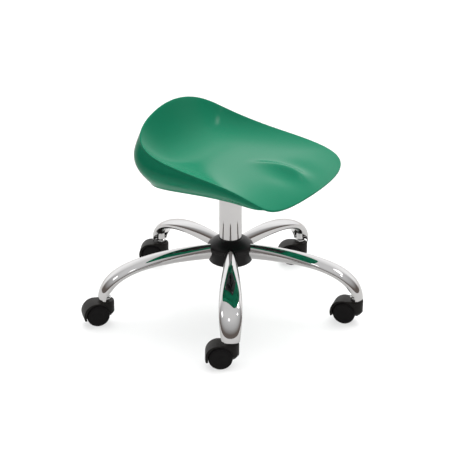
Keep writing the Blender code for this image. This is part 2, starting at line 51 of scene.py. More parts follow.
bodyOf = {node: body for body, nodes in frame["record"]["behaviour"]["bodies"].items() for node in nodes}
axis = np.array([*joints["seat_swivel"]["pos_m"][:2], 0.0])
legCount = 5
baseTurn = math.radians(-6)    # the first leg, from +X
columnRadius = 0.025
fitGap = 0.0003    # between pieces that fit in or on each other
tiny = 0.0001      # the least radius of a turned line, and the floor's drop under the wheels


def boxOf(node):
    low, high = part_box(node)
    return np.array(low), np.array(high)


def meshFrom(name, points, quads, fans=()):
    # points are (n, 3), quads (m, 4) indices; each fan joins a ring of indices to its middle's index.
    triangles = [np.stack([ring, np.roll(ring, -1), np.full(len(ring), centre)], 1) for ring, centre in fans]
    loops = np.concatenate([quads.ravel()] + [part.ravel() for part in triangles]).astype(np.int32)
    counts = np.concatenate([np.full(len(quads), 4)] + [np.full(len(part), 3) for part in triangles])
    starts = np.concatenate([[0], np.cumsum(counts)[:-1]]).astype(np.int32)
    mesh = bpy.data.meshes.new(name)
    mesh.vertices.add(len(points))
    mesh.vertices.foreach_set("co", np.asarray(points, np.float32).ravel())
    mesh.loops.add(len(loops))
    mesh.loops.foreach_set("vertex_index", loops)
    mesh.polygons.add(len(counts))
    mesh.polygons.foreach_set("loop_start", starts)
    mesh.update(calc_edges=True)
    mesh.validate()
    piece = bpy.data.objects.new(name, mesh)
    bpy.context.scene.collection.objects.link(piece)
    return outward(piece)


def outward(piece):
    # Merges doubles, then turns the faces of a closed mesh outwards.
    work = bmesh.new()
    work.from_mesh(piece.data)
    bmesh.ops.remove_doubles(work, verts=work.verts, dist=1e-7)
    bmesh.ops.recalc_face_normals(work, faces=work.faces)
    work.to_mesh(piece.data)
    work.free()
    return piece


def surface(name, grid, wrapRows=False, capStart=False, capEnd=False):
    # A (rows, columns, 3) grid whose columns close on themselves; a cap is a fan to an end row's middle.
    rows, columns = grid.shape[:2]
    row, column = np.meshgrid(np.arange(rows - (not wrapRows)), np.arange(columns), indexing="ij")
    nextRow, nextColumn = (row + 1) % rows, (column + 1) % columns
    corners = [row * columns + column, row * columns + nextColumn,
               nextRow * columns + nextColumn, nextRow * columns + column]
    points = grid.reshape(-1, 3)
    fans = []
    for wanted, end in ((capStart, 0), (capEnd, rows - 1)):
        if wanted:
            points = np.vstack([points, grid[end].mean(0)])
            fans.append((np.arange(columns) + end * columns, len(points) - 1))
    return meshFrom(name, points, np.stack(corners, -1).reshape(-1, 4), fans)


def rounded(corners, steps=5):
    # A line through (across, up, fillet) corners: each becomes a quadratic curve between its two sides.
    corners = [np.array(corner, float) for corner in corners]
    share = np.linspace(0, 1, steps + 1)[:, None]
    line = [corners[0][None, :2]]
    for before, corner, after in zip(corners, corners[1:], corners[2:]):
        if corner[2] <= 0:
            line.append(corner[None, :2])
            continue
        back, ahead = before[:2] - corner[:2], after[:2] - corner[:2]
        backLength, aheadLength = np.linalg.norm(back), np.linalg.norm(ahead)
        half = math.acos(np.clip(back @ ahead / (backLength * aheadLength), -1, 1)) / 2
        longest = 0.49 * min(backLength, aheadLength)    # two fillets never meet on one side
        reach = min(corner[2] / math.tan(half), longest)
        start = corner[:2] + back / backLength * reach
        end = corner[:2] + ahead / aheadLength * reach
        line.append(start * (1 - share) ** 2 + corner[:2] * 2 * share * (1 - share) + end * share ** 2)
    line.append(corners[-1][None, :2])
    return np.vstack(line)


def turnedGrid(line, sides, centre=(0, 0, 0), along="z"):
    # Carries a (radius, height) line round an axis: across = radius times cosine and sine of the turn.
    turn = np.linspace(0, 2 * np.pi, sides, endpoint=False)
    radius, height = line[:, :1], line[:, 1:]
    grid = np.stack([radius * np.cos(turn), radius * np.sin(turn), height + 0 * turn], -1)
    order = {"z": [0, 1, 2], "y": [0, 2, 1], "x": [2, 0, 1]}[along]
    return grid[..., order] + np.array(centre)


def turned(name, corners, sides=96, centre=(0, 0, 0), ring=True, steps=5, along="z"):
    # A ring's line closes on itself; any other runs from one end cap to the other.
    grid = turnedGrid(rounded(corners, steps), sides, centre, along)
    return surface(name, grid, wrapRows=ring, capStart=not ring, capEnd=not ring)


def closedCurve(points, place):
    # Smooth loop through evenly numbered points: cubic pieces whose second slopes agree where they meet.
    count = len(points)
    one = np.eye(count)
    bend = np.linalg.solve(4 * one + np.roll(one, 1, 1) + np.roll(one, -1, 1),
                           6 * (np.roll(points, -1, 0) - 2 * points + np.roll(points, 1, 0)))
    start = np.floor(place).astype(int) % count
    after = (start + 1) % count
    share = (place - np.floor(place))[..., None]
    left = 1 - share
    return (left * points[start] + share * points[after]
            + ((left ** 3 - left) * bend[start] + (share ** 3 - share) * bend[after]) / 6)


def openCurve(knots, values, place):
    # Smooth line through (knot, value) pairs, with no bend at its two ends.
    knots, values = np.asarray(knots, float), np.asarray(values, float)
    values = values.reshape(len(knots), -1)
    gap = np.diff(knots)
    rise = np.diff(values, axis=0) / gap[:, None]
    inner = len(knots) - 2
    system = np.eye(inner + 2)
    target = np.zeros_like(values)
    middle = np.arange(1, inner + 1)
    system[middle, middle - 1] = gap[:-1]
    system[middle, middle] = 2 * (gap[:-1] + gap[1:])
    system[middle, middle + 1] = gap[1:]
    target[middle] = 6 * (rise[1:] - rise[:-1])
    bend = np.linalg.solve(system, target)
    place = np.asarray(place, float)
    start = np.clip(np.searchsorted(knots, place, side="right") - 1, 0, inner)
    step = gap[start][..., None]
    share = (place[..., None] - knots[start][..., None]) / step
    left = 1 - share
    line = (left * values[start] + share * values[start + 1]
            + step ** 2 * ((left ** 3 - left) * bend[start] + (share ** 3 - share) * bend[start + 1]) / 6)
    return line if values.shape[1] > 1 else line[..., 0]


def smooth(low, high, value):
    # Smooth step from 0 to 1: three times the share squared, less twice the share cubed.
    share = np.clip((value - low) / (high - low), 0, 1)
    return share * share * (3 - 2 * share)


def settle(piece):
    # Replaces a piece's mesh by its evaluated one.
    graph = bpy.context.evaluated_depsgraph_get()
    mesh = bpy.data.meshes.new_from_object(piece.evaluated_get(graph))
    piece.modifiers.clear()
    piece.data = mesh
    return piece


def combine(piece, tools, operation="DIFFERENCE"):
    # Cuts the tools out of a piece, or joins them to it, and removes them.
    for tool in tools:
        change = piece.modifiers.new("join", "BOOLEAN")
        change.object = tool
        change.operation = operation
        change.solver = "EXACT"
    settle(piece)
    for tool in tools:
        bpy.data.objects.remove(tool, do_unlink=True)
    return piece


def copyOf(piece, name, matrix):
    # A second piece of the same shape, with its place in its mesh.
    twin = bpy.data.objects.new(name, piece.data.copy())
    twin.data.transform(matrix)
    bpy.context.scene.collection.objects.link(twin)
    return twin


def turnAbout(angle, centre):
    return Matrix.Translation(Vector(centre)) @ Matrix.Rotation(angle, 4, "Z")


def finishPiece(piece, material, node, angle=40, extra=False):
    # Gives a piece its material and shading and lets it stand for its node; an extra piece only rides along.
    piece.data.materials.clear()
    piece.data.materials.append(material)
    piece.data.shade_smooth()
    piece.data.set_sharp_from_angle(angle=math.radians(angle))
    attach(piece, bodyOf[node])
    if not extra:
        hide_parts(node)
    return piece


class Value:
    # A node socket that takes part in ordinary sums.
    def __init__(self, shader, socket):
        self.shader = shader
        self.socket = socket

    def sum(self, operation, *values):
        return self.shader.node("ShaderNodeMath", {"operation": operation}, dict(enumerate(values)))

    def __add__(self, other):
        return self.sum("ADD", self, other)

    __radd__ = __add__

    def __mul__(self, other):
        return self.sum("MULTIPLY", self, other)

    __rmul__ = __mul__

    def __sub__(self, other):
        return self.sum("SUBTRACT", self, other)

    def __rsub__(self, other):
        return self.sum("SUBTRACT", other, self)

    def atLeast(self, least):
        return self.sum("MAXIMUM", self, least)


class Shader:
    # The nodes of a material or a world, which end in its surface node.
    def __init__(self, owner, surface="Principled BSDF"):
        self.owner = owner
        owner.use_nodes = True
        self.tree = owner.node_tree
        self.surface = self.tree.nodes[surface]

    def node(self, kind, settings, inputs, output=0):
        made = self.tree.nodes.new(kind)
        for key, value in settings.items():
            if key == "stops":
                self.fillRamp(made.color_ramp.elements, value)
            else:
                setattr(made, key, value)
        for key, value in inputs.items():
            self.connect(value, made.inputs[key])
        return Value(self, made.outputs[output])

    def fillRamp(self, elements, stops):
        # A new ramp has two stops: the first is reused, the second goes.
        elements.remove(elements[1])
        elements[0].position, elements[0].color = stops[0]
        for position, colour in stops[1:]:
            elements.new(position).color = colour

    def connect(self, value, socket):
        if isinstance(value, Value):
            self.tree.links.new(value.socket, socket)
        else:
            socket.default_value = value

    def set(self, **values):
        for key, value in values.items():
            self.connect(value, self.surface.inputs[key.replace("_", " ")])

    def noise(self, scale, detail=3, stretch=(1, 1, 1), roughness=0.5):
        place = self.node("ShaderNodeTexCoord", {}, {}, "Object")
        where = self.node("ShaderNodeMapping", {}, {"Vector": place, "Scale": stretch})
        inputs = {"Vector": where, "Scale": scale, "Detail": detail, "Roughness": roughness}
        return self.node("ShaderNodeTexNoise", {}, inputs, "Fac")

    def mix(self, share, first, second):
        return self.node("ShaderNodeMix", {"data_type": "RGBA"}, {0: share, 6: first, 7: second}, 2)

    def bump(self, height, strength, distance):
        inputs = {"Height": height, "Strength": strength, "Distance": distance}
        return self.node("ShaderNodeBump", {}, inputs)


def screen(red, green, blue):
    # Screen values from 0 to 255 as linear colour.
    level = np.array([red, green, blue]) / 255
    linear = np.where(level <= 0.04045, level / 12.92, ((level + 0.055) / 1.055) ** 2.4)
    return (*(float(part) for part in linear), 1.0)


def grey(level):
    return (level, level, level, 1)


finishes = {
    "seatDark": screen(17, 112, 82), "seatLight": screen(20, 115, 85),
    "seatRoughness": 0.15, "seatGrain": 2600.0, "seatGloss": 0.11, "scuffsFrom": 0.62,
    "chromeDark": screen(205, 204, 205), "chromeLight": screen(212, 211, 210), "chromeRoughness": 0.045,
}


def seatMaterial():
    # Faint clouds of colour, fine grain, and long scuffs that dull the gloss.
    shader = Shader(bpy.data.materials.new("seatGreen"))
    clouds = shader.noise(9, 3)
    grain = shader.noise(finishes["seatGrain"], 2)
    flow = shader.noise(60, 2)
    scuffs = (shader.noise(220, 4, (1, 0.15, 1)) - finishes["scuffsFrom"]).atLeast(0)
    shader.set(Base_Color=shader.mix(clouds, finishes["seatDark"], finishes["seatLight"]),
               Roughness=finishes["seatRoughness"] + flow * 0.05 + scuffs * 0.3,
               Specular_IOR_Level=finishes["seatGloss"],
               Normal=shader.bump(grain, 0.10, 0.00006))
    return shader.owner


def chromeMaterial():
    # Clouded haze over fine polishing hairs that run upright.
    shader = Shader(bpy.data.materials.new("chrome"))
    haze = shader.noise(40, 4)
    hair = shader.noise(300, 2, (1, 1, 0.06))
    shader.set(Base_Color=shader.mix(haze, finishes["chromeDark"], finishes["chromeLight"]),
               Metallic=1.0, Roughness=finishes["chromeRoughness"] * (haze * 0.8 + 0.6),
               Normal=shader.bump(hair, 0.02, 0.0002))
    return shader.owner


def mouldMaterial(name, dark, light, roughness, grain, gloss=0.5):
    # Moulded plastic or paint: soft clouds, and pits that change the gloss.
    shader = Shader(bpy.data.materials.new(name))
    clouds = shader.noise(70, 3)
    pits = shader.noise(grain, 3, roughness=0.65)
    shader.set(Base_Color=shader.mix(clouds, dark, light),
               Roughness=roughness + (pits - 0.5) * 0.18,
               Specular_IOR_Level=gloss, Normal=shader.bump(pits, 0.35, 0.00025))
    return shader.owner


def steelMaterial(name, dark, light, roughness):
    # Drawn steel: fine lines round the piece, with a haze.
    shader = Shader(bpy.data.materials.new(name))
    lines = shader.noise(500, 2, (0.1, 0.1, 1))
    haze = shader.noise(60, 3)
    shader.set(Base_Color=shader.mix(haze, dark, light), Metallic=1.0,
               Roughness=roughness + lines * 0.12,
               Normal=shader.bump(lines, 0.08, 0.0002))
    return shader.owner


seatGreen = seatMaterial()
chrome = chromeMaterial()
hubBlack = mouldMaterial("hubBlack", screen(13, 11, 12), screen(17, 15, 16), 0.34, 1500, 0.22)
hoodBlack = mouldMaterial("hoodBlack", screen(20, 18, 17), screen(27, 25, 23), 0.42, 1800, 0.16)
wheelBlack = mouldMaterial("wheelBlack", screen(12, 10, 11), screen(16, 14, 15), 0.50, 2200, 0.15)
plainSteel = steelMaterial("plainSteel", screen(150, 150, 153), screen(172, 172, 174), 0.28)
paintBlack = mouldMaterial("paintBlack", screen(22, 22, 23), screen(27, 27, 28), 0.38, 900)
pinWhite = mouldMaterial("pinWhite", screen(200, 200, 196), screen(208, 208, 204), 0.45, 1200)
print("materials made")


# The seat: a level floor that climbs to a beaded rim, a low ridge at the front, and a skirt round it.
plateTop = boxOf("seat_plate")[1][2]
seat = {
    "floor": plateTop + 0.0115,
    "skirtBottom": plateTop - 0.0140,
    "middle": -0.020,
    "rim": [(0.000, 0.154, 0.105), (0.082, 0.151, 0.094), (0.145, 0.135, 0.069), (0.175, 0.087, 0.042),
            (0.180, -0.001, 0.022), (0.182, -0.096, 0.006), (0.181, -0.160, -0.013),
            (0.154, -0.189, -0.029), (0.089, -0.203, -0.034), (0.000, -0.209, -0.033)],
    "bead": 0.0021, "beadEnd": -112, "lip": 0.0045, "wall": 0.005, "skirtWall": 0.004,
    "bulge": 0.013, "bulgeHeight": 0.10, "draft": 0.014, "draftHeight": 0.085,
    "undercut": 0.008, "backDrop": 0.0055, "insideShare": 0.81,
    "climb": (4.4, 0.4, 0.8),    # at the sides, more at the front, more at the back
    "ridgeHeight": 0.0100, "ridgeWidth": 0.018, "ridgeCrest": 0.0040,
    "ridgeStart": -0.030, "ridgeEnd": -0.200, "ridgeRise": 0.105, "ridgeFall": 0.055,
    "scoop": 0.0034, "scoopPlace": (0.040, -0.150), "scoopSize": (0.030, 0.036),
    "turns": 384, "rings": 64, "bossRadius": 0.0075, "bossFlare": 0.0006,
}


def rimLine(turn):
    # Half the rim's points and their mirror image, joined by one smooth loop; height is over the floor.
    half = np.array(seat["rim"])
    whole = np.vstack([half, half[-2:0:-1] * [-1, 1, 1]])
    return closedCurve(whole, turn / (2 * np.pi) * len(whole))


def dish(rim, turn, share):
    # Out to the rim in proportion to share; up by the rim's height times share to the power of climb,
    # plus the ridge, which falls off exponentially to both sides, less two bell-shaped scoops.
    climb = climbAt(turn)
    x = rim[..., 0] * share
    y = seat["middle"] + (rim[..., 1] - seat["middle"]) * share
    start, end = seat["ridgeStart"], seat["ridgeEnd"]
    alongRidge = smooth(start, start - seat["ridgeRise"], y) * (1 - smooth(end + seat["ridgeFall"], end, y))
    crest = seat["ridgeCrest"]
    away = (np.sqrt(x ** 2 + crest ** 2) - crest) / seat["ridgeWidth"]
    ridge = seat["ridgeHeight"] * alongRidge * np.exp(-away ** 1.3)
    sideways, onward = seat["scoopPlace"]
    wide, long = seat["scoopSize"]
    scoop = seat["scoop"] * np.exp(-((np.abs(x) - sideways) / wide) ** 2 - ((y - onward) / long) ** 2)
    return np.stack([x, y, seat["floor"] + rim[..., 2] * share ** climb + ridge - scoop], -1)


def climbAt(turn):
    # The power of the dish's climb: at a side, plus a share of the front's or the back's.
    side, front, back = seat["climb"]
    facing = np.cos(turn)
    return side + front * np.maximum(0, -facing) + back * np.maximum(0, facing)


def seatShell():
    # Each cut runs from the middle of the floor out over the bead, down the skirt, and back underneath.
    turn = np.linspace(0, 2 * np.pi, seat["turns"], endpoint=False)
    rim = rimLine(turn)
    tangent = np.roll(rim, -1, 0) - np.roll(rim, 1, 0)
    out = np.stack([-tangent[:, 1], tangent[:, 0], 0 * turn], -1)
    out *= np.sign((out[:, :2] * (rim[:, :2] - [0, seat["middle"]])).sum(1))[:, None]
    out /= np.linalg.norm(out, axis=1)[:, None]
    up = np.array([0, 0, 1.0])
    top = rim + [0, 0, seat["floor"]]
    skirtBottom = seat["skirtBottom"] - seat["backDrop"] * smooth(-0.2, 0.6, np.cos(turn))
    foot = np.minimum(skirtBottom, top[:, 2] - seat["lip"])
    height = (top[:, 2] - foot)[:, None]
    bead = np.minimum(seat["bead"], height * 0.42)

    climb = climbAt(turn)[:, None]
    span = np.linalg.norm(rim[:, :2] - [0, seat["middle"]], axis=1)[:, None]
    slope = np.arctan(climb * rim[:, 2:] / span)
    centre = top - out * bead - up * bead
    edge = centre + bead * (-np.sin(slope) * out + np.cos(slope) * up)    # where the dish meets the bead
    inner = edge - [0, 0, seat["floor"]]
    shares = np.linspace(0, 1, seat["rings"] + 1)[1:, None]
    rows = [dish(inner, turn, shares)]

    bends = np.linspace(0, 1, 11)[1:, None, None]
    low = math.radians(seat["beadEnd"])
    heading = slope * (1 - bends) + low * bends
    rows.append(centre + bead * (-np.sin(heading) * out + np.cos(heading) * up))

    deep = np.minimum(1, height / seat["bulgeHeight"])
    bulge = seat["bulge"] * deep ** 0.7 * smooth(0.006, 0.03, height)
    places = np.linspace(0, 1, 40)[:, None, None]
    down = places[..., 0]
    swell = openCurve((0, 0.22, 0.42, 0.70, 0.94, 1.0), (0, 0.75, 1, 0.55, 0, -0.02), down)[..., None]
    pull = openCurve((0, 0.22, 0.42, 0.70, 0.88, 1.0), (0, 0, 0, 0.28, 0.80, 1.35), down)[..., None]
    start = rows[-1][-1]
    drop = start[:, 2:] - foot[:, None]
    curl = np.minimum(1, drop / seat["draftHeight"])
    lowSkirt = smooth(0.075, 0.040, height) * smooth(0.006, 0.034, height)    # low, but not thin
    under = seat["undercut"] * lowSkirt * np.sin(places * np.pi / 2)
    inwards = seat["draft"] * curl * pull + under
    rows.append((start + out * (bulge * swell - inwards) - up * drop * places)[1:])

    # The lower edge is a half circle, from the outer skin to the inner one.
    last = rows[-1][-1]
    half = seat["skirtWall"] / 2
    bends = np.linspace(0, 1, 9)[1:, None, None] * np.pi
    thin = np.minimum(1, height / 0.02)
    rows.append(last - out * half * (1 - np.cos(bends)) - up * half * np.sin(bends) * thin)

    # The inside runs straight up to the dish's under side, then along it to the middle.
    inside = dish(inner, turn, seat["insideShare"] * np.linspace(1, 0, 40)[:-1, None]) - up * seat["wall"]
    climbing = np.linspace(0, 1, 16)[1:-1, None, None]
    rows.append(rows[-1][-1] * (1 - climbing) + inside[0] * climbing)
    rows.append(inside)
    grid = np.concatenate(rows)
    return surface("seatShell", grid + axis, capStart=True, capEnd=True)


def seatBoss(name, screw):
    # A turned post from the plate up into the shell, over a screw, a little wider at its top.
    low, high = boxOf(screw)
    centre = np.array([(low[0] + high[0]) / 2, (low[1] + high[1]) / 2, 0])
    radius, hole = seat["bossRadius"], seat["bossRadius"] * 0.4
    base, top = plateTop + fitGap, seat["floor"] - seat["wall"] + 0.001
    return turned(name, [(hole, base, 0.0003), (radius, base, 0.0008),
                         (radius + seat["bossFlare"], top, 0), (hole, top, 0)], 48, centre)


finishPiece(seatShell(), seatGreen, "seat_shell", angle=50)
for number in range(4):
    boss = seatBoss(f"seatBoss{number + 1}", f"seat_screw_{number + 1}")
    finishPiece(boss, seatGreen, "seat_shell", extra=True)
print("seat made")


# The legs: an oval tube along a cubic curve, widest near two thirds, its under side cut back at the tip.
legs = {
    "hubReach": columnRadius + 0.0075 + 0.0012,    # the column, the hub's ring and the weld
    "tipReach": 0.2890, "rise": 0.0772, "crown": 0.0065, "wall": 0.002,
    "tipHeight": 0.0573, "middle": 0.160, "shoulder": 0.0715, "shoulderInset": 0.0075,
    "widths": ((0.0, 0.22, 0.5, 0.78, 1.0), (0.024, 0.034, 0.046, 0.047, 0.0385)),
    "heights": ((0.0, 0.22, 0.5, 0.78, 1.0), (0.035, 0.031, 0.0235, 0.0235, 0.024)),
    "open": 0.19, "openPower": 0.6, "sides": 72, "steps": 150,
}
hubHeight = legs["tipHeight"] + legs["rise"]


def legSkin(share, turn, inset):
    # Centre line: cubic from hub by near and far to tip; across it, half the width times the cosine of
    # the turn, and up from it, half the height times the sine.
    reach, tipHeight = legs["tipReach"], legs["tipHeight"]
    hub = np.array([legs["hubReach"], 0, hubHeight])
    near = np.array([legs["middle"], 0, hubHeight + legs["crown"]])
    far = np.array([reach - legs["shoulderInset"], 0, tipHeight + legs["shoulder"]])
    tip = np.array([reach, 0, tipHeight])
    share = share[..., None]
    left = 1 - share
    centre = hub * left ** 3 + near * 3 * left ** 2 * share + far * 3 * left * share ** 2 + tip * share ** 3
    heading = (near - hub) * left ** 2 + (far - near) * 2 * left * share + (tip - far) * share ** 2
    heading /= np.linalg.norm(heading, axis=-1, keepdims=True)
    upward = np.stack([-heading[..., 2], 0 * heading[..., 0], heading[..., 0]], -1)
    width = openCurve(*legs["widths"], share[..., 0])[..., None] / 2 - inset
    height = openCurve(*legs["heights"], share[..., 0])[..., None] / 2 - inset
    turn = turn[..., None]
    return centre + width * np.cos(turn) * np.array([0, 1, 0]) + upward * height * np.sin(turn)


def legTube():
    # Outer skin, half-round lip and inner skin; below its middle the tube ends early, by the sine of the
    # turn to a power times the opening.
    turn = np.linspace(0, 2 * np.pi, legs["sides"], endpoint=False)
    end = 1 - legs["open"] * np.maximum(0, -np.sin(turn)) ** legs["openPower"]
    steps = np.linspace(0, 1, legs["steps"])[:, None]
    wall = legs["wall"]
    outer = legSkin(steps * end, turn + 0 * steps, 0)
    bends = np.linspace(0, np.pi, 7)[1:-1, None]
    inset = wall / 2 * (1 - np.cos(bends))
    lip = legSkin(end + 0 * bends, turn + 0 * bends, inset[..., None])
    onward = outer[-1] - outer[-2]
    onward /= np.linalg.norm(onward, axis=-1, keepdims=True)
    lip = lip + onward * (wall / 2 * np.sin(bends))[..., None]
    inner = legSkin(steps[::-1] * end, turn + 0 * steps, wall)
    return surface("leg", np.concatenate([outer, lip, inner]), wrapRows=True)


legTurns = [baseTurn + 2 * math.pi * number / legCount for number in range(legCount)]
leg = legTube()
for number, turn in enumerate(legTurns):
    twin = copyOf(leg, f"leg{number + 1}", turnAbout(turn, axis))
    finishPiece(twin, chrome, f"leg_{number + 1}", angle=60)
bpy.data.objects.remove(leg, do_unlink=True)
print("legs made")


# The hub: a ring welded to the legs, in an upper and a lower cover cut out round the legs.
hub = {
    "wall": 0.0025, "brim": 0.0503, "cover": 0.0486, "throat": 0.0022,
    "drop": 0.0255, "split": 0.0040, "brimRise": 0.0115, "domeRise": 0.0290,
}


def hubCovers():
    # Both covers are turned profiles; the dome's line falls from the column's edge to the brim.
    hole = columnRadius + fitGap
    split, brim = hubHeight + hub["split"], hubHeight + hub["brimRise"]
    top, bottom = hubHeight + hub["domeRise"], hubHeight - hub["drop"]
    wall = hub["wall"]
    edge = hole + hub["throat"]
    slope = hub["brim"] - edge
    out = np.array([1, 0.93, 0.62, 0.28, 0.08, 0])
    rise = np.array([0, 0.20, 0.58, 0.86, 0.98, 1])
    share = np.linspace(0, 1, 28)
    line = openCurve(np.linspace(0, 1, 6), np.stack([out, rise], 1), share)
    dome = np.stack([edge + slope * line[:, 0], brim + (top - brim) * line[:, 1]], 1)
    under = dome[3:-1] - [wall * 0.8, wall]
    throat = rounded([(edge, top, 0), (hole, top - 0.0002, 0.0006), (hole, top - wall - 0.001, 0)])
    inside = hub["brim"] - wall
    brimLine = rounded([(inside, brim - wall, 0), (inside, split + fitGap, 0),
                        (hub["brim"], split + fitGap, 0.0008), (hub["brim"] + tiny, brim, 0.0012),
                        (*dome[2], 0)])
    upperLine = np.vstack([dome[2:-1], throat, under[::-1], brimLine[:-1]])
    upper = surface("hubCoverUpper", turnedGrid(upperLine, 144, axis), wrapRows=True)
    outer, lowInside = hub["cover"], hub["cover"] - wall
    lower = turned("hubCoverLower", [
        (outer, split - fitGap, 0), (outer, bottom, 0.006), (hole + 0.002, bottom, 0.001),
        (hole, bottom + 0.0004, 0.0004), (hole, bottom + wall, 0), (lowInside, bottom + wall, 0.004),
        (lowInside, split - fitGap, 0)], 144, axis)
    turn = np.linspace(0, 2 * np.pi, legs["sides"], endpoint=False)
    steps = np.linspace(0, 0.5, 60)[:, None]
    plug = surface("plug", legSkin(steps + 0 * turn, turn + 0 * steps, -0.0004), capStart=True, capEnd=True)
    for cover in (upper, lower):
        combine(cover, [copyOf(plug, "cutter", turnAbout(turn, axis)) for turn in legTurns])
    bpy.data.objects.remove(plug, do_unlink=True)
    return upper, lower


upperCover, lowerCover = hubCovers()
finishPiece(upperCover, hubBlack, "hub_cover_upper")
finishPiece(lowerCover, hubBlack, "hub_cover_lower")

column = {"wall": 0.0015, "floor": 0.003, "rodHole": 0.0044, "sides": 160}


def columnTube():
    # A turned tube with a floor that has the rod's hole in its middle.
    low, high = boxOf("column_tube")[0][2], boxOf("column_tube")[1][2]
    radius, inner, hole = columnRadius, columnRadius - column["wall"], column["rodHole"]
    floorLow = low + column["floor"]
    floorHigh = floorLow + column["floor"]
    corners = [(hole, floorLow, 0), (inner, floorLow, 0), (inner, low, 0.0003), (radius, low, 0.0005),
               (radius, high, 0.0007), (inner, high, 0.0005), (inner, floorHigh, 0), (hole, floorHigh, 0)]
    return turned("columnTube", corners, column["sides"], axis)


finishPiece(columnTube(), chrome, "column_tube")
print("hub and column made")


# The casters: a hood over two wheels, turning on a stem in the leg's socket.
caster = {
    "wheel": 0.025, "width": 0.0172, "web": 0.0060, "sideGap": 0.0006, "trail": 0.0206,
    "wellGap": 0.0010, "hoodWall": 0.0022, "tail": 0.0030, "neck": 0.0178, "top": 0.0532,
    "stem": 0.0055, "collar": 0.0024, "collarHeight": 0.0037, "flare": 0.0022, "tilt": -19, "last": 92,
    "deep": 0.024, "fillet": 0.0028, "neckFoot": 0.0185, "dimple": 0.0016,
}
casterHalf = caster["web"] / 2 + caster["sideGap"] + caster["width"]


def slab(name, path, inward, depth, widths, fillet, levels=8):
    # Carries a block across Y along a path: each point goes across by the half width and inward by the
    # depth, and the block's edges are quarter circles.
    bends = np.linspace(0, np.pi / 2, levels)
    corner = np.stack([fillet * (1 - np.cos(bends)), fillet * (1 - np.sin(bends))], 1)    # down, in
    down = np.concatenate([corner[:, 0], [depth, depth], corner[::-1, 0]])
    side = np.concatenate([1 + 0 * bends, [1, -1], -1 + 0 * bends])
    pull = np.concatenate([corner[:, 1], [0, 0], corner[::-1, 1]])
    across = side * (widths[:, None] - pull)
    grid = path[:, None, :] + inward[:, None, :] * down[None, :, None]
    grid = grid + across[..., None] * np.array([0, 1, 0])
    return surface(name, grid, capStart=True, capEnd=True)


def casterHood():
    # A deep block over the wheels' arc and on to the stem, a turned neck, less the two wheel wells.
    axle = np.array([caster["trail"], 0, caster["wheel"]])
    well = caster["wheel"] + caster["wellGap"]
    outer = well + caster["hoodWall"]
    turns = np.radians(np.linspace(caster["tilt"], caster["last"], 60))
    middle = axle + [caster["tail"], 0, 0]
    shift = smooth(math.radians(60), math.radians(100), turns)[:, None] * np.array([-caster["tail"], 0, 0])
    heading = np.stack([np.cos(turns), 0 * turns, np.sin(turns)], 1)
    arc = middle + heading * outer
    onward = np.linspace(arc[-1, 0], -0.004, 14)[1:]
    line = np.stack([onward, 0 * onward, 0 * onward + caster["top"]], 1)
    path = np.vstack([arc, line])
    inward = np.vstack([-heading, np.tile([0, 0, -1.0], (len(line), 1))])
    widths = caster["neck"] + (casterHalf - caster["neck"]) * smooth(-0.004, 0.030, path[:, 0])
    body = slab("hood", path, inward, caster["deep"], widths, caster["fillet"])
    foot, neckRadius, top = caster["neckFoot"], caster["neck"], caster["top"]
    dimple = top - caster["dimple"]
    neck = turned("neck", [(tiny, foot, 0), (neckRadius - 0.0065, foot, 0.001),
                           (neckRadius, foot + 0.008, 0.002), (neckRadius, top, 0.0022),
                           (0.0125, top, 0.0006), (0.0115, dimple, 0.0006), (tiny, dimple, 0)],
                  96, ring=False)
    combine(body, [neck], "UNION")
    inner = caster["web"] / 2
    cutters = []
    for side in (1, -1):
        low, high = sorted((side * inner, side * (casterHalf + 0.01)))
        cutters.append(turned("well", [(tiny, low, 0), (well, low, 0.0008), (well, high, 0), (tiny, high, 0)],
                              128, axle, ring=False, along="y"))
    hole, low, high = caster["stem"] + fitGap, 0.040, 0.07
    cutters.append(turned("bore", [(tiny, low, 0), (hole, low, 0), (hole, high, 0), (tiny, high, 0)],
                          48, ring=False))
    return combine(body, cutters)


def casterWheel():
    # Tread with rounded shoulders, a shallow ring groove near its edge and a low boss in the middle.
    radius, half, bore = caster["wheel"], caster["width"] / 2, 0.0036
    innerFace = [(bore, -half, 0), (0.0105, -half, 0), (0.0110, -half + 0.0008, 0),
                 (0.0205, -half + 0.0008, 0.0005), (0.0212, -half, 0.0003)]
    tread = [(radius - 0.0006, -half, 0.0010), (radius, -half + 0.0025, 0.0012),
             (radius, half - 0.0032, 0.0018), (radius - 0.0022, half - 0.0006, 0.0012)]
    groove = [(radius - 0.0032, half - 0.0002, 0.0003), (radius - 0.0036, half - 0.0009, 0.0002),
              (radius - 0.0041, half - 0.0002, 0.0003)]
    outerFace = [(0.0165, half, 0.0008), (0.0160, half - 0.0003, 0.0002), (0.0155, half, 0.0002),
                 (0.0095, half - 0.0004, 0.002), (tiny, half, 0)]
    axleHole = [(tiny, half - 0.0032, 0), (bore, half - 0.0032, 0)]
    return turned("wheel", innerFace + tread + groove + outerFace + axleHole, 128, along="y")


